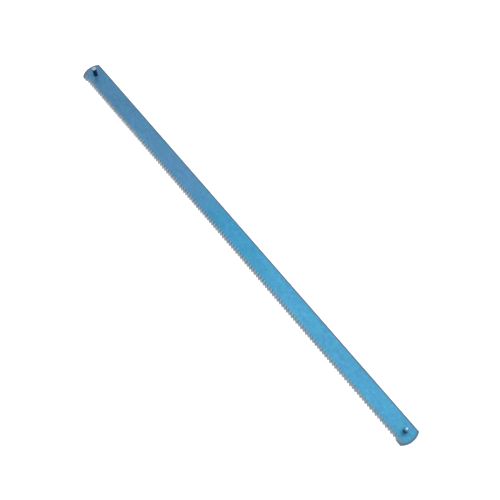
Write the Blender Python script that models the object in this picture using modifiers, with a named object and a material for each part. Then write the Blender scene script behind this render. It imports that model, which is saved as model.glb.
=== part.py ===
"""Junior hacksaw blade: a toothed steel strip with a steel cross pin pressed through each end.

Metres, +Z up. The blade lies flat and stands on the lower ends of its two pins. Its length runs along X and
its teeth point to +X. The smooth back edge faces +Y and the teeth face -Y. The origin is under the middle of
the blade, on the surface that the pins stand on.
"""
import math

import bmesh
import bpy

# Strip
LENGTH = 0.1524            # end to end, 6 in
WIDTH = 0.0065             # tooth tips to back edge
THICKNESS = 0.00065
END_RADIUS = 0.0052        # arc that each end is cropped to, centred on the pins' line
END_ARC_STEPS = 14

# Teeth
PITCH = 0.0254 / 24        # 24 teeth per inch
NOTCHES = 138              # gullets cut along the edge, between two plain lands
TOOTH_DEPTH = 0.0005
GULLET_RADIUS = 0.00018
RAKE = math.radians(5)     # hook of the front face of a tooth
TOOTH_SET = 0.00017        # sideways bend of a tooth tip

# Cross pins
PIN_SPAN = 0.1455          # between the pins' axes
PIN_DIAMETER = 0.0014
PIN_LENGTH = 0.0082
PIN_CHAMFER = 0.00012
PIN_CLEARANCE = 0.00005    # all round the pin in its hole
ROUND_STEPS = 24           # sides of a pin and of its hole

# Finishes
LACQUER = (0.075, 0.34, 0.60, 1.0)
STEEL = (0.56, 0.58, 0.60, 1.0)

HALF_WIDTH = WIDTH / 2
TIP_Y = -HALF_WIDTH
ROOT_Y = TIP_Y + TOOTH_DEPTH
PIN_Y = (ROOT_Y + HALF_WIDTH) / 2      # midway between the tooth roots and the back edge
FIRST_NOTCH_X = -NOTCHES * PITCH / 2
MIDDLE_Z = PIN_LENGTH / 2
MERGE_DISTANCE = 1e-6


def clear_scene():
    for item in list(bpy.data.objects):
        bpy.data.objects.remove(item, do_unlink=True)


def make_collection(name):
    collection = bpy.data.collections.new(name)
    bpy.context.scene.collection.children.link(collection)
    return collection


def make_material(name, colour, roughness, metallic):
    material = bpy.data.materials.new(name)
    material.use_nodes = True
    material.diffuse_color = colour
    shader = material.node_tree.nodes["Principled BSDF"]
    shader.inputs["Base Color"].default_value = colour
    shader.inputs["Roughness"].default_value = roughness
    shader.inputs["Metallic"].default_value = metallic
    return material


def arc(centre_x, centre_y, radius, angles):
    return [(centre_x + radius * math.cos(a), centre_y + radius * math.sin(a)) for a in angles]


def spread(start, end, steps):
    return [start + (end - start) * i / steps for i in range(steps + 1)]


def gullet_centre():
    """Centre of a gullet's arc, from the tooth tip just behind the gullet."""
    rise = TOOTH_DEPTH - GULLET_RADIUS
    return -rise * math.tan(RAKE) + GULLET_RADIUS / math.cos(RAKE), rise


def notch(tip_x):
    """One gullet, from the tip behind it at tip_x to the foot of the next tooth's back, which starts at the
    next tip."""
    centre_x, rise = gullet_centre()
    reach = math.hypot(PITCH - centre_x, rise)
    back_angle = math.atan2(rise, PITCH - centre_x) + math.asin(GULLET_RADIUS / reach)
    front, top, foot = math.pi - RAKE, math.pi / 2, math.pi / 2 - back_angle
    angles = [front, (front + top) / 2, top, foot]
    return [(tip_x, TIP_Y)] + arc(tip_x + centre_x, TIP_Y + rise, GULLET_RADIUS, angles)


def end_angles():
    """Angles of the +X end's arc, from the toothed edge through the very end to the back edge."""
    toothed = math.asin((HALF_WIDTH + PIN_Y) / END_RADIUS)
    back = math.asin((HALF_WIDTH - PIN_Y) / END_RADIUS)
    steps = END_ARC_STEPS // 2
    return spread(-toothed, 0, steps) + spread(0, back, steps)[1:]


def blade_outline():
    """Tooth edge from -X to +X, the +X end, then the -X end."""
    end_x = LENGTH / 2 - END_RADIUS
    turns = end_angles()
    points = []
    for i in range(NOTCHES):
        points += notch(FIRST_NOTCH_X + i * PITCH)
    points.append((FIRST_NOTCH_X + NOTCHES * PITCH, TIP_Y))
    points += arc(end_x, PIN_Y, END_RADIUS, turns)
    points += arc(-end_x, PIN_Y, END_RADIUS, [math.pi - a for a in reversed(turns)])
    return points


def hole_outline(centre_x):
    turn = spread(0, 2 * math.pi, ROUND_STEPS)[:-1]
    return arc(centre_x, PIN_Y, PIN_DIAMETER / 2 + PIN_CLEARANCE, turn)


def sheet_from_outlines(name, outlines, thickness, z):
    """Closed mesh object of a flat outline with holes."""
    curve = bpy.data.curves.new(name + "_outline", "CURVE")
    curve.dimensions = "2D"
    curve.fill_mode = "BOTH"
    curve.extrude = thickness / 2
    curve.render_resolution_u = 0
    for outline in outlines:
        spline = curve.splines.new("POLY")
        spline.points.add(len(outline) - 1)
        for point, (x, y) in zip(spline.points, outline):
            point.co = (x, y, 0, 1)
        spline.use_cyclic_u = True
    flat = bpy.data.objects.new(name + "_outline", curve)
    flat.location.z = z
    bpy.context.scene.collection.objects.link(flat)
    bpy.context.view_layer.update()
    evaluated = flat.evaluated_get(bpy.context.evaluated_depsgraph_get())
    mesh = bpy.data.meshes.new_from_object(evaluated)
    mesh.name = name
    piece = bpy.data.objects.new(name, mesh)
    piece.matrix_world = flat.matrix_world
    bpy.data.objects.remove(flat, do_unlink=True)
    bm = bmesh.new()
    bm.from_mesh(mesh)
    bmesh.ops.remove_doubles(bm, verts=bm.verts, dist=MERGE_DISTANCE)
    bmesh.ops.recalc_face_normals(bm, faces=bm.faces)
    bm.to_mesh(mesh)
    bm.free()
    return piece


def set_side(x):
    """+1 or -1 for the way that the tooth at x is bent, and 0 on the plain lands."""
    centre_x, _ = gullet_centre()
    tooth = math.floor((x - FIRST_NOTCH_X - centre_x) / PITCH) + 1
    if tooth < 1 or tooth >= NOTCHES:
        return 0
    return 1 if tooth % 2 else -1


def set_teeth(mesh):
    """Bend the teeth sideways by turns, each about the line through the gullets' bottoms."""
    bm = bmesh.new()
    bm.from_mesh(mesh)
    everything = bm.verts[:] + bm.edges[:] + bm.faces[:]
    bmesh.ops.bisect_plane(bm, geom=everything, dist=MERGE_DISTANCE, plane_co=(0, ROOT_Y, 0), plane_no=(0, 1, 0))
    for vert in bm.verts:
        below_root = ROOT_Y - vert.co.y
        if below_root > MERGE_DISTANCE:
            vert.co.z += set_side(vert.co.x) * TOOTH_SET * below_root / TOOTH_DEPTH
    bm.to_mesh(mesh)
    bm.free()


def make_blade(collection, material):
    outlines = [blade_outline(), hole_outline(-PIN_SPAN / 2), hole_outline(PIN_SPAN / 2)]
    blade = sheet_from_outlines("blade", outlines, THICKNESS, MIDDLE_Z)
    set_teeth(blade.data)
    blade.data.materials.append(material)
    collection.objects.link(blade)


def make_pin(collection, name, x, material):
    """A turned pin with chamfered ends, standing on z = 0."""
    radius = PIN_DIAMETER / 2
    profile = [
        (0, PIN_LENGTH),
        (radius - PIN_CHAMFER, PIN_LENGTH),
        (radius, PIN_LENGTH - PIN_CHAMFER),
        (radius, PIN_CHAMFER),
        (radius - PIN_CHAMFER, 0),
        (0, 0),
    ]
    mesh = bpy.data.meshes.new(name)
    edges = [(i, i + 1) for i in range(len(profile) - 1)]
    mesh.from_pydata([(r, 0, z) for r, z in profile], edges, [])
    mesh.materials.append(material)
    pin = bpy.data.objects.new(name, mesh)
    pin.location = (x, PIN_Y, 0)
    screw = pin.modifiers.new("turn", "SCREW")
    screw.axis = "Z"
    screw.steps = ROUND_STEPS
    screw.render_steps = ROUND_STEPS
    screw.use_merge_vertices = True
    screw.merge_threshold = MERGE_DISTANCE
    collection.objects.link(pin)


def main():
    clear_scene()
    collection = make_collection("junior_hacksaw_blade")
    lacquer = make_material("blue_lacquer", LACQUER, roughness=0.38, metallic=0.35)
    steel = make_material("bright_steel", STEEL, roughness=0.28, metallic=1.0)
    make_blade(collection, lacquer)
    make_pin(collection, "front_pin", PIN_SPAN / 2, steel)
    make_pin(collection, "rear_pin", -PIN_SPAN / 2, steel)


main()
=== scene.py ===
"""Looks of a junior hacksaw blade: a toothed, blue-lacquered steel strip with a cross pin through each end.

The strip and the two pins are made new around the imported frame, which gives their places and main sizes.
Metres, +Z up. The teeth point to +X and face -Y; the part stands on the lower ends of its pins, at z = 0.
"""
import math
import random

import bmesh
import bpy
from bpy.props import FloatProperty, FloatVectorProperty, IntProperty, PointerProperty
from mathutils import Matrix, Vector


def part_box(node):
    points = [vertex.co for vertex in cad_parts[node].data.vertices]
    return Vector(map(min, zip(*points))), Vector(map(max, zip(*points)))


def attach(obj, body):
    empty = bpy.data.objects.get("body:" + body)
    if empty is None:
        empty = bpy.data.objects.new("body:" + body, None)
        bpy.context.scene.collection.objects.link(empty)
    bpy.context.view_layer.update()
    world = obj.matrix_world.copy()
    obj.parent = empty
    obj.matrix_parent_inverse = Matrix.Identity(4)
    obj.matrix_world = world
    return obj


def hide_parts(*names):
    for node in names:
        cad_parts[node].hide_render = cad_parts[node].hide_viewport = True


bl_info = {
    "name": "Junior Hacksaw Blade",
    "version": (1, 0, 0),
    "blender": (4, 5, 0),
    "location": "View3D > Sidebar > Saw Blade",
    "description": "Makes a toothed, lacquered saw blade with a cross pin through each end",
    "category": "Add Mesh",
}

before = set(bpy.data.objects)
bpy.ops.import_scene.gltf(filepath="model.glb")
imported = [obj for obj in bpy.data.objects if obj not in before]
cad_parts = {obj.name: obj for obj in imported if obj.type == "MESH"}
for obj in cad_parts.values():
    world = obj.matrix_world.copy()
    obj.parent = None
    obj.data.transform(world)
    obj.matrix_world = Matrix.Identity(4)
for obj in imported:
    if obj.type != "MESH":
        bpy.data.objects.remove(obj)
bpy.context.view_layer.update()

MM = 0.001
MERGE = 1e-7

# Strip, from the frame
STRIP_LOW, STRIP_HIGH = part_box("blade")
HALF_LENGTH = (STRIP_HIGH.x - STRIP_LOW.x) / 2
HALF_WIDTH = (STRIP_HIGH.y - STRIP_LOW.y) / 2
STRIP_Z = (STRIP_LOW.z + STRIP_HIGH.z) / 2
TIP_Y = STRIP_LOW.y

# Strip, as designed
THICKNESS = 0.65 * MM
END_RADIUS = 5.2 * MM
PITCH = 25.4 * MM / 24
NOTCHES = 138
TOOTH_DEPTH = 0.5 * MM
GULLET_RADIUS = 0.18 * MM
RAKE = math.radians(5)
ROOT_Y = TIP_Y + TOOTH_DEPTH
FIRST_TIP_X = -NOTCHES * PITCH / 2
FULL_SET = (STRIP_HIGH.z - STRIP_LOW.z - THICKNESS) / 2

# Pins, from the frame
PIN_BOXES = {"front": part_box("front_pin"), "rear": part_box("rear_pin")}
PIN_PLACES = {name: (low.xy + high.xy) / 2 for name, (low, high) in PIN_BOXES.items()}
PIN_LOW, PIN_HIGH = PIN_BOXES["front"]
PIN_RADIUS = (PIN_HIGH.y - PIN_LOW.y) / 2
PIN_TOP = PIN_HIGH.z
PIN_PROUD = (PIN_TOP - STRIP_Z - THICKNESS / 2) / MM       # how far a pin stands out of a face, in mm
END_Y = PIN_PLACES["front"].y          # the arcs of the ends are centred on the pins' line

# Finishes, and painted shade and highlight, that vary over the strip, as linear colours
SCRATCH_BLUE = (0.30, 0.48, 0.62)
NICK_BLUE = (0.03, 0.10, 0.16)
VIOLET_CAST = (0.12, 0.27, 0.60)
TEAL_CAST = (0.03, 0.37, 0.50)
REAR_MIST = (0.20, 0.30, 0.35)
# Painted shade: the mist over the toothed band, darker towards the front end
SHADED_FRONT_MIST = (0.12, 0.20, 0.24)
STAINED_STEEL = (0.32, 0.34, 0.35)
# Painted shade: the steel of the toothed band, darker towards the front end
SHADED_FRONT_STEEL = (0.20, 0.24, 0.26)
REAR_TIP = (0.46, 0.45, 0.435)
# Painted shade: the tooth tips, darker towards the front end
SHADED_FRONT_TIP = (0.38, 0.375, 0.365)
# Painted highlight: the light strokes above the gullets
STROKE_HIGHLIGHT_STEEL = (0.46, 0.56, 0.60)
RIM_GREY = (0.13, 0.165, 0.19)

# Where the finishes and the painted shade change along the strip, in millimetres from its middle
# Painted shade and sheen: from here the lacquer turns darker and greyer towards the rear end
REAR_SHADE_START, REAR_SHADE_FULL = -4, -26
# Painted shade: the last stretch of the rear end is darker still
REAR_END_SHADE_START, REAR_END_SHADE_FULL = -24, -60
# Painted shade: the toothed band darkens towards the front end between these
FRONT_SHADE_START, FRONT_SHADE_FULL = -45, 45
SKIP_START, SKIP_FULL = -20, -55       # towards the rear, only every other painted stroke shadow is dark
# Painted shadow and highlight strokes above the gullets: where they are strongest, and how they lean
STROKE_MIDDLE, STROKE_NEAR, STROKE_FAR = -10, 20, 75
STROKE_LEAN = 0.50                     # pitches that a stroke leans back for each millimetre it rises
STROKE_ANGLE = -0.49                   # turn that brings the strokes upright

# How finely the new pieces are cut
GULLET_STEPS = 8
END_ARC_STEPS = 28
COLUMNS_PER_TOOTH = 6
PAD_TEETH = 3                 # teeth at each end that belong to the pad round the pin
HOLE_STEPS = 48
PIN_STEPS = 64


class BladeSettings(bpy.types.PropertyGroup):
    rim_round: FloatProperty(
        name="Rim rounding",
        description="Width of the rounding along every edge of the strip",
        default=0.035 * MM, min=0, unit="LENGTH", subtype="DISTANCE", precision=5,
    )
    tip_flat: FloatProperty(
        name="Tip land",
        description="Width of the blunt land on each tooth tip",
        default=0.03 * MM, min=0, unit="LENGTH", subtype="DISTANCE", precision=5,
    )
    bend_above_root: FloatProperty(
        name="Bend above root",
        description="How far above the gullets the sideways set of the teeth begins",
        default=0.30 * MM, min=0, unit="LENGTH", subtype="DISTANCE", precision=5,
    )
    set_spread: FloatProperty(
        name="Set spread",
        description="Largest share that a tooth's set falls short of the full set",
        default=0.22, min=0, max=1, subtype="FACTOR",
    )
    collar_height: FloatProperty(
        name="Lacquer collar height",
        description="How far the lacquer climbs up a pin at its foot",
        default=0.14 * MM, min=0, unit="LENGTH", subtype="DISTANCE", precision=5,
    )
    collar_width: FloatProperty(
        name="Lacquer collar width",
        description="How far the lacquer collar spreads round a pin",
        default=0.24 * MM, min=0, unit="LENGTH", subtype="DISTANCE", precision=5,
    )
    dimple_radius: FloatProperty(
        name="Press mark radius",
        description="Radius of the shallow mark pressed round each pin",
        default=1.6 * MM, min=0, unit="LENGTH", subtype="DISTANCE", precision=5,
    )
    dimple_depth: FloatProperty(
        name="Press mark depth",
        description="Depth of the shallow mark pressed round each pin",
        default=0.018 * MM, min=0, unit="LENGTH", subtype="DISTANCE", precision=5,
    )
    seed: IntProperty(
        name="Seed",
        description="Start of the random draws that make each tooth a little different",
        default=24, min=0,
    )
    lacquer: FloatVectorProperty(
        name="Lacquer",
        description="Blue of the lacquer over the front two thirds of the strip",
        default=(0.024, 0.318, 0.555), size=3, min=0, max=1, subtype="COLOR",
    )
    # Painted shade and sheen: a darker, greyer blue laid over the rear end of the lacquer
    rear_shaded_lacquer: FloatVectorProperty(
        name="Dull lacquer",
        description="Greyer blue of the lacquer towards the rear end",
        default=(0.088, 0.280, 0.495), size=3, min=0, max=1, subtype="COLOR",
    )
    bare_steel: FloatVectorProperty(
        name="Bare steel",
        description="Steel of the milled teeth",
        default=(0.40, 0.455, 0.49), size=3, min=0, max=1, subtype="COLOR",
    )
    # The same dark steel is also laid on as the painted shadow of the strokes above the gullets, for the
    # shade in the gaps between the teeth
    edge_steel_and_stroke_shadow: FloatVectorProperty(
        name="Edge steel",
        description="Dark sheared steel of the strip's walls, also left by the cutter's strokes",
        default=(0.055, 0.065, 0.075), size=3, min=0, max=1, subtype="COLOR",
    )


class PinSettings(bpy.types.PropertyGroup):
    edge_round: FloatProperty(
        name="Edge rounding",
        description="Radius of the rounding at each end of a pin",
        default=0.13 * MM, min=0, unit="LENGTH", subtype="DISTANCE", precision=5,
    )
    dome: FloatProperty(
        name="Dome",
        description="How far the middle of a pin's end stands above its rounding",
        default=0.05 * MM, min=0, unit="LENGTH", subtype="DISTANCE", precision=5,
    )
    front_crop: FloatProperty(
        name="Front crop",
        description="Radius of the bright cropped patch on the front pin's ends; lacquer covers the rest",
        default=0.34 * MM, min=0, unit="LENGTH", subtype="DISTANCE", precision=5,
    )
    rear_crop: FloatProperty(
        name="Rear crop",
        description="Radius of the bright cropped patch on the rear pin's ends",
        default=0.62 * MM, min=0, unit="LENGTH", subtype="DISTANCE", precision=5,
    )
    # Painted shade: the pins' sides are given this dark colour for the shade on them
    shaded_flank: FloatVectorProperty(
        name="Flank",
        description="Dark, thickly lacquered side of the pins",
        default=(0.022, 0.045, 0.070), size=3, min=0, max=1, subtype="COLOR",
    )
    wire: FloatVectorProperty(
        name="Wire",
        description="Bright steel at the cropped ends of the pins",
        default=(0.50, 0.56, 0.60), size=3, min=0, max=1, subtype="COLOR",
    )


class StudioSettings(bpy.types.PropertyGroup):
    floor_colour: FloatVectorProperty(
        name="Floor",
        description="Colour of the plain floor",
        default=(0.86, 0.87, 0.88), size=3, min=0, max=1, subtype="COLOR",
    )
    camera_place: FloatVectorProperty(
        name="Camera place",
        description="Where the camera stands",
        default=(0.08177, -0.06020, 0.2503), size=3, unit="LENGTH", subtype="TRANSLATION",
    )
    camera_aim: FloatVectorProperty(
        name="Camera aim",
        description="Point that the camera looks at",
        default=(0.00492, 0.00080, 0.0044), size=3, unit="LENGTH", subtype="TRANSLATION",
    )
    camera_roll: FloatProperty(
        name="Camera roll",
        description="Turn of the camera about its own line of sight",
        default=math.radians(-0.45), unit="ROTATION", subtype="ANGLE",
    )
    lens: FloatProperty(
        name="Lens",
        description="Focal length on a 36 mm sensor",
        default=64.84, min=1, unit="CAMERA",
    )


class Number:
    """A number that varies over a surface. Arithmetic on it adds Math nodes to its material."""

    def __init__(self, shade, socket):
        self.shade = shade
        self.socket = socket

    def math(self, operation, *others):
        inputs = dict(enumerate((self, *others)))
        return self.shade.add("ShaderNodeMath", inputs, operation=operation).out(0)

    def flipped(self, operation, other):
        return self.shade.add("ShaderNodeMath", {0: other, 1: self}, operation=operation).out(0)

    def __add__(self, other):
        return self.math("ADD", other)

    def __radd__(self, other):
        return self.math("ADD", other)

    def __sub__(self, other):
        return self.math("SUBTRACT", other)

    def __rsub__(self, other):
        return self.flipped("SUBTRACT", other)

    def __mul__(self, other):
        return self.math("MULTIPLY", other)

    def __rmul__(self, other):
        return self.math("MULTIPLY", other)

    def smallest(self, other):
        return self.math("MINIMUM", other)

    def largest(self, other):
        return self.math("MAXIMUM", other)

    def size(self):
        return self.math("ABSOLUTE")

    def root(self):
        return self.math("SQRT")

    def rise(self, low, high):
        """0 below low and 1 above high, eased in between. With low above high it falls instead."""
        inputs = {"Value": self, "From Min": low, "From Max": high}
        return self.shade.add("ShaderNodeMapRange", inputs, interpolation_type="SMOOTHSTEP").out("Result")


class Node:
    """A node in a material, whose outputs are numbers, colours or vectors."""

    def __init__(self, shade, node):
        self.shade = shade
        self.node = node

    def out(self, key):
        return Number(self.shade, self.node.outputs[key])


class Shade:
    """A material whose pattern is written as expressions."""

    def __init__(self, name):
        self.material = bpy.data.materials.new(name)
        self.material.use_nodes = True
        self.tree = self.material.node_tree
        self.surface = self.tree.nodes["Principled BSDF"]

    def add(self, kind, inputs, **settings):
        node = self.tree.nodes.new(kind)
        for key, value in settings.items():
            setattr(node, key, value)
        for key, value in inputs.items():
            self.feed(node.inputs[key], value)
        return Node(self, node)

    def feed(self, socket, value):
        if isinstance(value, Number):
            self.tree.links.new(value.socket, socket)
        else:
            socket.default_value = value

    def finish(self, inputs):
        for key, value in inputs.items():
            self.feed(self.surface.inputs[key], value)
        return self.material

    def place(self):
        """The point on the piece, in millimetres."""
        point = self.add("ShaderNodeTexCoord", {}).out("Object")
        return self.add("ShaderNodeVectorMath", {0: point, "Scale": 1 / MM}, operation="SCALE").out(0)

    def facing(self):
        """The direction that the surface faces."""
        return self.add("ShaderNodeTexCoord", {}).out("Normal")

    def split(self, vector):
        parts = self.add("ShaderNodeSeparateXYZ", {0: vector})
        return parts.out(0), parts.out(1), parts.out(2)

    def stretched(self, vector, x, y, z, turn=0):
        """The vector turned about Z and then scaled along each axis."""
        turned = self.add("ShaderNodeVectorRotate", {"Vector": vector, "Angle": turn}, rotation_type="Z_AXIS")
        return self.add("ShaderNodeVectorMath", {0: turned.out(0), 1: (x, y, z)}, operation="MULTIPLY").out(0)

    def noise(self, vector, detail=2.0, roughness=0.5):
        inputs = {"Vector": vector, "Scale": 1.0, "Detail": detail, "Roughness": roughness}
        return self.add("ShaderNodeTexNoise", inputs).out(0)

    def blend(self, share, first, second):
        """Colour between first, at share 0, and second, at share 1."""
        inputs = {0: share, 6: self.colour(first), 7: self.colour(second)}
        return self.add("ShaderNodeMix", inputs, data_type="RGBA").out(2)

    def colour(self, value):
        return value if isinstance(value, Number) else (*value, 1.0)

    def relief(self, height):
        """Normal of a surface raised by height, in millimetres."""
        inputs = {"Height": height, "Distance": MM, "Strength": 1.0}
        return self.add("ShaderNodeBump", inputs).out(0)


def arc(centre_x, centre_y, radius, start, end, steps):
    turns = [start + (end - start) * i / steps for i in range(steps + 1)]
    return [(centre_x + radius * math.cos(t), centre_y + radius * math.sin(t)) for t in turns]


def gullet_centre():
    """Centre of a gullet's arc, from the tooth tip behind the gullet."""
    rise = TOOTH_DEPTH - GULLET_RADIUS
    return -rise * math.tan(RAKE) + GULLET_RADIUS / math.cos(RAKE), rise


def gullet_angles():
    """Angles on a gullet's arc where the tooth front leaves it and where the next tooth's back leaves it."""
    centre_x, rise = gullet_centre()
    reach = math.hypot(PITCH - centre_x, rise)
    back = math.atan2(rise, PITCH - centre_x) + math.asin(GULLET_RADIUS / reach)
    return math.pi - RAKE, math.pi / 2 - back


def gullet_top_x(number):
    """X of the bottom of a gullet, counted from 0 at the rear."""
    return FIRST_TIP_X + number * PITCH + gullet_centre()[0]


def gullet_front(number):
    """Tooth front before a gullet, from the tip up to the gullet's bottom."""
    offset, rise = gullet_centre()
    tip_x = FIRST_TIP_X + number * PITCH
    front, _ = gullet_angles()
    curve = arc(tip_x + offset, TIP_Y + rise, GULLET_RADIUS, front, math.pi / 2, GULLET_STEPS // 2)
    return [(tip_x, TIP_Y)] + curve


def gullet_back(number, tip_flat):
    """From a gullet's bottom along the next tooth's back to the land on its tip."""
    offset, rise = gullet_centre()
    tip_x = FIRST_TIP_X + number * PITCH
    _, foot = gullet_angles()
    curve = arc(tip_x + offset, TIP_Y + rise, GULLET_RADIUS, math.pi / 2, foot, GULLET_STEPS // 2)
    return curve + [(tip_x + PITCH - tip_flat, TIP_Y)]


def tooth_outline(number, tip_flat):
    """One tooth, from the gullet behind it to the gullet in front of it."""
    return gullet_back(number - 1, tip_flat) + gullet_front(number)


def add_loop(bm, points):
    verts = [bm.verts.new((x, y, 0)) for x, y in points]
    return [bm.edges.new((a, b)) for a, b in zip(verts, verts[1:] + verts[:1])]


def cut(bm, geom, place, normal):
    result = bmesh.ops.bisect_plane(bm, geom=geom, dist=MERGE, plane_co=place, plane_no=normal)
    return result["geom"]


def add_middle(bm, settings):
    """Flat sheet of one tooth and the strip above it, then its copies between the two pads."""
    start, end = PAD_TEETH, NOTCHES - PAD_TEETH
    points = tooth_outline(start + 1, settings.tip_flat)
    points += [(gullet_top_x(start + 1), HALF_WIDTH), (gullet_top_x(start), HALF_WIDTH)]
    merged = [p for p, q in zip(points, points[1:] + points[:1]) if math.dist(p, q) > MERGE]
    face = bm.faces.new([bm.verts.new((x, y, 0)) for x, y in merged])
    geom = list(face.verts) + list(face.edges) + [face]
    for i in range(1, COLUMNS_PER_TOOTH):
        x = gullet_top_x(start) + PITCH * i / COLUMNS_PER_TOOTH
        geom = cut(bm, geom, (x, 0, 0), (1, 0, 0))
    for number in range(1, end - start):
        copy = bmesh.ops.duplicate(bm, geom=geom)["geom"]
        verts = [item for item in copy if isinstance(item, bmesh.types.BMVert)]
        bmesh.ops.translate(bm, verts=verts, vec=(number * PITCH, 0, 0))


def end_arc():
    """The front end's arc, from the toothed edge through the very end to the back edge."""
    toothed = math.asin((HALF_WIDTH + END_Y) / END_RADIUS)
    back = math.asin((HALF_WIDTH - END_Y) / END_RADIUS)
    centre_x = HALF_LENGTH - END_RADIUS
    steps = END_ARC_STEPS // 2
    first = arc(centre_x, END_Y, END_RADIUS, -toothed, 0, steps)
    return first + arc(centre_x, END_Y, END_RADIUS, 0, back, steps)[1:]


def pad_outline(side, tip_flat):
    """Outline of the sheet round one pin: side is +1 at the front and -1 at the rear."""
    if side > 0:
        seam = NOTCHES - PAD_TEETH
        points = [(gullet_top_x(seam), HALF_WIDTH)]
        for number in range(seam + 1, NOTCHES):
            points += tooth_outline(number, tip_flat)[:-1]
        points += gullet_back(NOTCHES - 1, 0)
        points += end_arc()
    else:
        seam = PAD_TEETH
        points = [(gullet_top_x(seam), HALF_WIDTH)]
        points += [(-x, y) for x, y in reversed(end_arc())]
        points += gullet_front(0)[:-1]
        for number in range(1, seam + 1):
            points += tooth_outline(number, tip_flat)[:-1]
        points += [(gullet_top_x(seam), ROOT_Y)]
    return points


def add_pad(bm, side, pin, settings):
    """Flat sheet round one pin: the strip's end, and rings that run in to the hole."""
    before = set(bm.faces)
    outline = add_loop(bm, pad_outline(side, settings.tip_flat))
    ring = add_loop(bm, arc(pin.x, pin.y, settings.dimple_radius, 0, math.tau, HOLE_STEPS)[:-1])
    bmesh.ops.triangle_fill(bm, edges=outline + ring, use_beauty=True, use_dissolve=False)
    made = [face for face in bm.faces if face not in before]
    verts = list(dict.fromkeys(vert for face in made for vert in face.verts))
    edges = list(dict.fromkeys(edge for face in made for edge in face.edges))
    bmesh.ops.dissolve_limit(bm, angle_limit=0.001, use_dissolve_boundaries=False, verts=verts, edges=edges)
    radius = settings.dimple_radius
    for smaller in ring_radii(settings):
        grown = bmesh.ops.extrude_edge_only(bm, edges=ring)["geom"]
        ring = [item for item in grown if isinstance(item, bmesh.types.BMEdge)]
        verts = [item for item in grown if isinstance(item, bmesh.types.BMVert)]
        share = smaller / radius
        bmesh.ops.scale(bm, vec=(share, share, 1), space=Matrix.Translation((-pin.x, -pin.y, 0)), verts=verts)
        radius = smaller


def ring_radii(settings):
    """Radii of the rings from the press mark's rim in to the hole."""
    collar = PIN_RADIUS + settings.collar_width
    hole = PIN_RADIUS + 0.006 * MM
    steps = 5
    shares = [i / steps for i in range(1, steps + 1)]
    mark = [settings.dimple_radius + (collar - settings.dimple_radius) * share for share in shares]
    return mark + [collar + (hole - collar) * math.sin(math.pi / 2 * share) for share in shares]


def cut_band(bm, settings):
    """Rows across the teeth, so that they can bend smoothly."""
    levels = [settings.bend_above_root * share for share in (1, 0.66, 0.33)]
    levels += [0, -TOOTH_DEPTH * 0.25, -TOOTH_DEPTH * 0.5, -TOOTH_DEPTH * 0.75]
    for level in levels:
        everything = bm.verts[:] + bm.edges[:] + bm.faces[:]
        cut(bm, everything, (0, ROOT_Y + level, 0), (0, 1, 0))


def pin_distance(point):
    """Distance across the strip's face to the axis of the nearer pin."""
    return min((point.xy - pin).length for pin in PIN_PLACES.values())


def round_rims(bm, width):
    """Round every edge where a wall meets one of the strip's two faces, apart from the holes'."""
    rims = []
    for edge in bm.edges:
        level = abs(edge.verts[0].co.z - edge.verts[1].co.z) < MERGE
        near_pin = pin_distance(edge.verts[0].co) < 1.2 * PIN_RADIUS
        if level and not near_pin and edge.calc_face_angle() > math.radians(60):
            rims.append(edge)
    bmesh.ops.bevel(
        bm, geom=rims, offset=width, offset_type="OFFSET", segments=2, profile=0.5,
        affect="EDGES", clamp_overlap=True, material=-1,
    )


def tooth_shift(x, y, settings, draws):
    """Sideways shift of a point by the set of its tooth. Neighbouring teeth lean opposite ways."""
    along = (x - gullet_top_x(0)) / PITCH
    number = math.floor(along) + 1
    if number < 1 or number >= NOTCHES:
        return 0
    start_y = ROOT_Y + settings.bend_above_root
    down = min(max((start_y - y) / (start_y - TIP_Y), 0), 1)
    wave = math.sin(math.pi * (along - math.floor(along))) ** 0.6
    hold = min(max(2 * (ROOT_Y - y) / TOOTH_DEPTH, 0), 1)
    side = 1 if number % 2 else -1
    return side * draws[number] * FULL_SET * down ** 1.3 * (wave + (1 - wave) * hold)


def collar_rise(distance, settings):
    """Height of the strip's face round a pin: a shallow mark, then the collar of lacquer at the pin."""
    collar = PIN_RADIUS + settings.collar_width
    if distance > collar:
        share = (settings.dimple_radius - distance) / (settings.dimple_radius - collar)
        return -settings.dimple_depth * math.sin(math.pi * min(max(share, 0), 1)) ** 2
    share = min((collar - distance) / settings.collar_width, 1)
    return settings.collar_height * (1 - math.sqrt(1 - share ** 2))


def shape_strip(bm, settings):
    """Set the teeth and raise the collars, then lift the strip to its height on the pins."""
    rng = random.Random(settings.seed)
    draws = [1 - settings.set_spread * rng.random() ** 2 for _ in range(NOTCHES + 1)]
    for vert in bm.verts:
        x, y, z = vert.co
        distance = pin_distance(vert.co)
        if distance < settings.dimple_radius:
            vert.co.z += math.copysign(collar_rise(distance, settings), z)
        vert.co.z += tooth_shift(x, y, settings, draws) + STRIP_Z


def finish_piece(bm, name, material, sharp_angle):
    """Mesh object of a finished bmesh, smooth apart from its sharp edges."""
    mesh = bpy.data.meshes.new(name)
    bm.to_mesh(mesh)
    bm.free()
    mesh.shade_smooth()
    mesh.set_sharp_from_angle(angle=sharp_angle)
    mesh.materials.append(material)
    piece = bpy.data.objects.new(name, mesh)
    bpy.context.scene.collection.objects.link(piece)
    even = piece.modifiers.new("even_shading", "WEIGHTED_NORMAL")
    even.keep_sharp = True
    return piece


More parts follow.
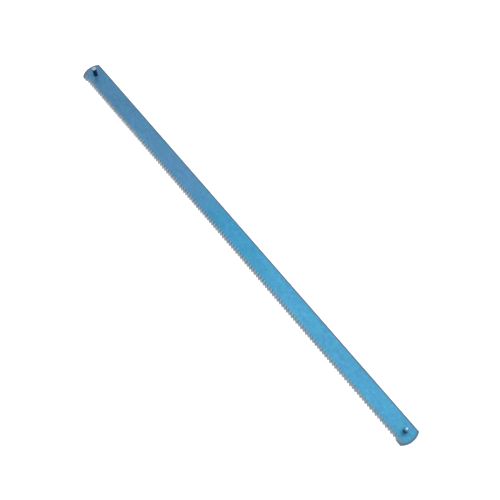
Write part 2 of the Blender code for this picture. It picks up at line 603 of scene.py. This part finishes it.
def strip_material(settings):
    """Blue lacquer over rolled steel, worn to bare metal along the teeth and grey along the other edges.
    Painted shade and sheen darken and grey the lacquer towards the rear end, painted shade darkens the
    toothed band towards the front, and painted shadow and highlight strokes stand above the gullets.
    """
    shade = Shade("lacquered_blade_steel")
    place = shade.place()
    x, y, _ = shade.split(place)

    cloud = shade.noise(shade.stretched(place, 0.09, 0.16, 0.3), detail=3.0)
    mottle = shade.noise(shade.stretched(place, 0.7, 0.9, 0.9), detail=4.0, roughness=0.6)
    rolling = shade.noise(shade.stretched(place, 0.06, 5.0, 5.0), detail=3.0, roughness=0.65)
    grain = shade.noise(shade.stretched(place, 1.8, 2.4, 2.4), detail=2.0)
    tint = shade.noise(shade.stretched(place, 0.30, 0.44, 0.44, turn=0.8), detail=2.0) - 0.5
    peel = shade.noise(shade.stretched(place, 3.2, 3.2, 3.2), detail=2.0)
    scuffs = shade.noise(shade.stretched(place, 0.35, 7.0, 0.5, turn=0.10), detail=1.0).rise(0.70, 0.76)
    nicks = shade.noise(shade.stretched(place, 0.5, 9.0, 0.5, turn=-0.75), detail=1.0).rise(0.73, 0.78)

    # Grey rims along the back edge and the two end arcs
    past = (x.size() - (HALF_LENGTH - END_RADIUS) / MM).largest(0)
    off_line = y - END_Y / MM
    from_end = END_RADIUS / MM - (past * past + off_line * off_line).root()
    uneven = (mottle - 0.5) * 0.25
    back_rim = (HALF_WIDTH / MM - y + uneven).rise(0.66, 0.20)
    end_rim = (from_end + uneven * 2).rise(0.95, 0.30)
    rim = back_rim.largest(end_rim)

    # Height above the tooth roots, and the stretch of edge that is toothed
    above = y - ROOT_Y / MM
    wander = (mottle - 0.5) * 0.9 + (rolling - 0.5) * 0.3
    milled = x.size().rise(-FIRST_TIP_X / MM + 0.3, -FIRST_TIP_X / MM - 0.3)
    bare = (above + wander).rise(0.62, 0.12) * (0.35 + milled * 0.65)
    haze = (above + wander).rise(1.40, 0.20)

    # Dark sheared walls; those of the teeth are freshly milled instead
    _, _, flat = shade.split(shade.facing())
    wall = flat.size().rise(0.85, 0.55) * (above.rise(0.2, 0.5) * milled + (1 - milled))

    # Painted strokes above the gullets: for each gullet, a dark painted shadow and a light painted highlight
    # run up the face and lean back to the rear
    along = (x - gullet_top_x(0) / MM) * (MM / PITCH) + above * STROKE_LEAN
    across = 0.5 - (along.math("FRACT") - 0.5).size()
    upright = shade.stretched(place, 11.0, 0.9, 0.9, turn=STROKE_ANGLE)
    streaks = shade.noise(upright, detail=2.0, roughness=0.6)
    ragged = across + (streaks - 0.5) * 0.34
    stroke = above.rise(0.06, 0.34) * (above + (streaks - 0.5) * 1.2).rise(1.12, 0.68) * milled
    every_other = 0.5 - ((along * 0.5).math("FRACT") - 0.5).size()
    skipped = every_other.rise(0.20, 0.35) * x.rise(SKIP_START, SKIP_FULL)
    strength = stroke * (0.35 + (x - STROKE_MIDDLE).size().rise(STROKE_FAR, STROKE_NEAR) * 0.65)
    stroke_shadow = ragged.rise(0.22, 0.12) * strength * (1 - skipped * 0.9)
    stroke_highlight = ragged.rise(0.28, 0.40) * strength

    # Painted shade and sheen: the lacquer darkens and greys towards the rear end, and is darker still at the
    # very end
    rear_shade = (x + (cloud - 0.5) * 16 + (rolling - 0.5) * 6).rise(REAR_SHADE_START, REAR_SHADE_FULL)
    tone = (cloud - 0.5) * 0.30 + (mottle - 0.5) * 0.50 + (rolling - 0.5) * 0.34 + (grain - 0.5) * 0.42
    rearmost_shaded = tuple(c * 0.88 for c in settings.rear_shaded_lacquer)
    rear = shade.blend(x.rise(REAR_END_SHADE_START, REAR_END_SHADE_FULL), settings.rear_shaded_lacquer, rearmost_shaded)
    lacquer = shade.blend(rear_shade, settings.lacquer, rear)
    deep = shade.blend(tone.rise(-0.02, 0.28), lacquer, tuple(c * 0.72 for c in settings.lacquer))
    pale = shade.blend(tone.rise(0.02, -0.28), deep, tuple(c * 1.25 + 0.02 for c in settings.lacquer))
    violet = shade.blend(tint.rise(0.02, 0.22) * (0.22 + rear_shade * 0.23), pale, VIOLET_CAST)
    teal = shade.blend(tint.rise(-0.02, -0.18) * (0.60 - rear_shade * 0.35), violet, TEAL_CAST)
    scratched = shade.blend(scuffs * 0.35, teal, SCRATCH_BLUE)
    nicked = shade.blend(nicks * 0.5, scratched, NICK_BLUE)
    # Painted shade: towards the front end the mist, the steel and the tooth tips are made darker
    front = x.rise(FRONT_SHADE_START, FRONT_SHADE_FULL)
    mist_and_shade = shade.blend(front, REAR_MIST, SHADED_FRONT_MIST)
    misted_and_shaded = shade.blend(haze * 0.45, nicked, mist_and_shade)
    clean_tone = shade.blend(mottle.rise(0.35, 0.65), settings.bare_steel, STAINED_STEEL)
    base_tone_and_shade = shade.blend(front * 0.55, clean_tone, SHADED_FRONT_STEEL)
    tip_tone_and_shade = shade.blend(front, REAR_TIP, SHADED_FRONT_TIP)
    tooth_tone = shade.blend(above.rise(0.35, -0.20) * milled * 0.8, base_tone_and_shade, tip_tone_and_shade)
    # Painted highlight and painted shadow of the strokes laid over the tooth band
    stroke_highlighted = shade.blend(stroke_highlight * 0.40, shade.blend(bare, misted_and_shaded, tooth_tone), STROKE_HIGHLIGHT_STEEL)
    toothed = shade.blend(stroke_shadow * 0.60, stroke_highlighted, settings.edge_steel_and_stroke_shadow)
    rimmed = shade.blend(rim * 0.85, toothed, RIM_GREY)
    cut_edge = (rim * 0.75).largest(wall * 0.9)
    edged = shade.blend(wall * 0.9, rimmed, settings.edge_steel_and_stroke_shadow)

    metal = bare.largest(cut_edge)
    height = (rolling - 0.5) * 0.006 + (peel - 0.5) * 0.003 - nicks * 0.004 - metal * 0.004
    return shade.finish({
        "Base Color": edged,
        "Metallic": 0.40 + bare * 0.20 - cut_edge * 0.25,
        "Roughness": 0.38 + bare * 0.08 + (mottle - 0.5) * 0.18 + (rolling - 0.5) * 0.16 + cut_edge * 0.18,
        "Coat Weight": 0.45 - metal * 0.45,
        "Coat Roughness": 0.16,
        "Normal": shade.relief(height),
    })


def pin_material(name, pin, crop_radius, settings, lacquer):
    """Wire whose sides are painted dark as painted shade, with lacquer at its foot and round its ends, and a
    bright patch where each end was cropped.
    """
    shade = Shade(name)
    place = shade.place()
    x, y, z = shade.split(place)
    x, y = x - pin.x / MM, y - pin.y / MM
    from_face = (z - STRIP_Z / MM).size() - THICKNESS / 2 / MM
    out = (x * x + y * y).root()

    drawn = shade.noise(shade.stretched(place, 14.0, 14.0, 0.5), detail=3.0, roughness=0.6)
    cloud = shade.noise(shade.stretched(place, 1.6, 1.6, 1.6), detail=3.0)
    crop = shade.noise(shade.stretched(place, 16.0, 1.2, 1.2, turn=0.6), detail=2.0)
    end = from_face.rise(PIN_PROUD - 0.33, PIN_PROUD - 0.08)
    end_face = (out + (cloud - 0.5) * 0.25).rise(crop_radius / MM + 0.05, crop_radius / MM - 0.05) * end

    wetted = (from_face + (cloud - 0.5) * 0.9).rise(0.55, 0.15)
    tarnish = (cloud - 0.5 + (drawn - 0.5) * 0.6).rise(-0.05, 0.25)
    # Painted shade on the pin's sides, varied at random by the tarnish
    shaded_flank = shade.blend(tarnish * 0.6, settings.shaded_flank, tuple(c * 1.8 for c in settings.shaded_flank))
    coated = shade.blend(end, shaded_flank, tuple(c * 0.8 + 0.03 for c in lacquer))
    steel = shade.blend(end_face, coated, settings.wire)
    coloured = shade.blend(wetted * 0.8, steel, tuple(c * 0.35 for c in lacquer))
    height = (drawn - 0.5) * 0.006 * (1 - end_face) + (crop - 0.5) * 0.012 * end_face
    return shade.finish({
        "Base Color": coloured,
        "Metallic": 1.0 - wetted * 0.4 - (end - end_face) * 0.6,
        "Roughness": 0.24 + (cloud - 0.5) * 0.2 + (drawn - 0.5) * 0.15 + end_face * 0.12,
        "Normal": shade.relief(height),
    })


class AddToothedStrip(bpy.types.Operator):
    """Make the blade's strip, with its teeth, its rounded rims and the lacquer collars round its pins"""

    bl_idname = "mesh.add_toothed_strip"
    bl_label = "Toothed Strip"

    def execute(self, context):
        settings = context.scene.saw_blade
        bm = bmesh.new()
        add_middle(bm, settings)
        add_pad(bm, 1, PIN_PLACES["front"], settings)
        add_pad(bm, -1, PIN_PLACES["rear"], settings)
        bmesh.ops.remove_doubles(bm, verts=bm.verts, dist=MERGE * 5)
        cut_band(bm, settings)
        bmesh.ops.translate(bm, verts=bm.verts, vec=(0, 0, -THICKNESS / 2))
        grown = bmesh.ops.extrude_face_region(bm, geom=bm.faces[:])["geom"]
        upper = [item for item in grown if isinstance(item, bmesh.types.BMVert)]
        bmesh.ops.translate(bm, verts=upper, vec=(0, 0, THICKNESS))
        bmesh.ops.recalc_face_normals(bm, faces=bm.faces)
        round_rims(bm, settings.rim_round)
        shape_strip(bm, settings)
        strip = finish_piece(bm, "toothed_strip", strip_material(settings), math.radians(40))
        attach(strip, "root")
        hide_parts("blade")
        return {"FINISHED"}


class AddCrossPins(bpy.types.Operator):
    """Make the two cross pins, cropped from wire and rounded at their ends"""

    bl_idname = "mesh.add_cross_pins"
    bl_label = "Cross Pins"

    def execute(self, context):
        settings = context.scene.saw_pins
        lacquer = context.scene.saw_blade.lacquer
        crops = {"front": settings.front_crop, "rear": settings.rear_crop}
        for name, place in PIN_PLACES.items():
            material = pin_material(name + "_pin_wire", place, crops[name], settings, lacquer)
            turned = self.turn_pin(place, settings)
            pin = finish_piece(turned, name + "_cross_pin", material, math.radians(50))
            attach(pin, "root")
            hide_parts(name + "_pin")
        return {"FINISHED"}

    def end_profile(self, settings):
        """Radius and depth below the very end, from the middle of an end out to the side."""
        edge_round = settings.edge_round
        inner = PIN_RADIUS - edge_round
        dome = [(inner * i / 6, settings.dome * (i / 6) ** 2) for i in range(6)]
        steps = 6
        turns = [math.pi / 2 * i / steps for i in range(steps + 1)]
        corner = [
            (inner + edge_round * math.sin(t), settings.dome + edge_round * (1 - math.cos(t)))
            for t in turns
        ]
        return dome + corner

    def turn_pin(self, place, settings):
        bm = bmesh.new()
        end = self.end_profile(settings)
        profile = [(r, PIN_TOP - depth) for r, depth in end] + [(r, depth) for r, depth in reversed(end)]
        verts = [bm.verts.new((r, 0, z)) for r, z in profile]
        edges = [bm.edges.new(pair) for pair in zip(verts, verts[1:])]
        bmesh.ops.spin(
            bm, geom=verts + edges, cent=(0, 0, 0), axis=(0, 0, 1), angle=math.tau, steps=PIN_STEPS,
            use_merge=True, use_normal_flip=False, use_duplicate=False,
        )
        bmesh.ops.remove_doubles(bm, verts=bm.verts, dist=MERGE)
        bmesh.ops.recalc_face_normals(bm, faces=bm.faces)
        bmesh.ops.translate(bm, verts=bm.verts, vec=(place.x, place.y, 0))
        return bm


class AddBladeStudio(bpy.types.Operator):
    """Make the floor, the soft lights and the camera"""

    bl_idname = "scene.add_blade_studio"
    bl_label = "Studio"

    def execute(self, context):
        settings = context.scene.saw_studio
        self.add_floor(settings)
        self.add_world(context.scene)
        self.add_panel("front_panel", (0.00, 0.16, 0.40), (0.04, 0.0, 0.0), 0.24, 0.24, 0.20)
        self.add_panel("side_panel", (-0.10, -0.50, 0.35), (0.0, 0.0, 0.0), 0.40, 0.40, 0.35)
        self.add_camera(context.scene, settings)
        return {"FINISHED"}

    def add_floor(self, settings):
        bm = bmesh.new()
        bmesh.ops.create_grid(bm, x_segments=1, y_segments=1, size=4.0)
        shade = Shade("pale_floor")
        material = shade.finish({
            "Base Color": (*settings.floor_colour, 1.0),
            "Roughness": 0.7,
            "Specular IOR Level": 0.2,
            "Emission Color": (1.0, 1.0, 1.0, 1.0),
            "Emission Strength": 0.75,
        })
        mesh = bpy.data.meshes.new("floor")
        bm.to_mesh(mesh)
        bm.free()
        mesh.materials.append(material)
        floor = bpy.data.objects.new("floor", mesh)
        bpy.context.scene.collection.objects.link(floor)

    def add_world(self, scene):
        world = bpy.data.worlds.new("studio")
        world.use_nodes = True
        world.node_tree.nodes["Background"].inputs["Color"].default_value = (0.92, 0.95, 1.0, 1.0)
        world.node_tree.nodes["Background"].inputs["Strength"].default_value = 0.78
        scene.world = world
        scene.view_settings.view_transform = "Standard"

    def add_panel(self, name, place, aim, width, depth, watts):
        light = bpy.data.lights.new(name, "AREA")
        light.shape = "RECTANGLE"
        light.size = width
        light.size_y = depth
        light.energy = watts
        lamp = bpy.data.objects.new(name, light)
        lamp.location = place
        lamp.rotation_euler = (Vector(aim) - Vector(place)).to_track_quat("-Z", "Y").to_euler()
        lamp.visible_camera = False
        bpy.context.scene.collection.objects.link(lamp)

    def add_camera(self, scene, settings):
        camera = bpy.data.cameras.new("camera")
        camera.lens = settings.lens
        camera.clip_start = 0.01
        camera.clip_end = 20
        stand = bpy.data.objects.new("camera", camera)
        place, aim = Vector(settings.camera_place), Vector(settings.camera_aim)
        look = (aim - place).to_track_quat("-Z", "Y").to_matrix()
        turn = Matrix.Rotation(settings.camera_roll, 3, "Z")
        stand.matrix_world = Matrix.LocRotScale(place, (look @ turn).to_quaternion(), None)
        scene.collection.objects.link(stand)
        scene.camera = stand


class SawBladePanel(bpy.types.Panel):
    bl_idname = "VIEW3D_PT_saw_blade"
    bl_label = "Junior Hacksaw Blade"
    bl_space_type = "VIEW_3D"
    bl_region_type = "UI"
    bl_category = "Saw Blade"

    def draw(self, context):
        layout = self.layout
        for group, operator in (
            (context.scene.saw_blade, AddToothedStrip),
            (context.scene.saw_pins, AddCrossPins),
            (context.scene.saw_studio, AddBladeStudio),
        ):
            box = layout.box()
            for key in group.bl_rna.properties.keys():
                if key not in ("rna_type", "name"):
                    box.prop(group, key)
            box.operator(operator.bl_idname)


CLASSES = (
    BladeSettings, PinSettings, StudioSettings,
    AddToothedStrip, AddCrossPins, AddBladeStudio, SawBladePanel,
)


def register():
    for each in CLASSES:
        bpy.utils.register_class(each)
    bpy.types.Scene.saw_blade = PointerProperty(type=BladeSettings)
    bpy.types.Scene.saw_pins = PointerProperty(type=PinSettings)
    bpy.types.Scene.saw_studio = PointerProperty(type=StudioSettings)


def unregister():
    del bpy.types.Scene.saw_studio
    del bpy.types.Scene.saw_pins
    del bpy.types.Scene.saw_blade
    for each in reversed(CLASSES):
        bpy.utils.unregister_class(each)


def main():
    register()
    bpy.ops.mesh.add_toothed_strip()
    bpy.ops.mesh.add_cross_pins()
    bpy.ops.scene.add_blade_studio()


if __name__ == "__main__":
    main()
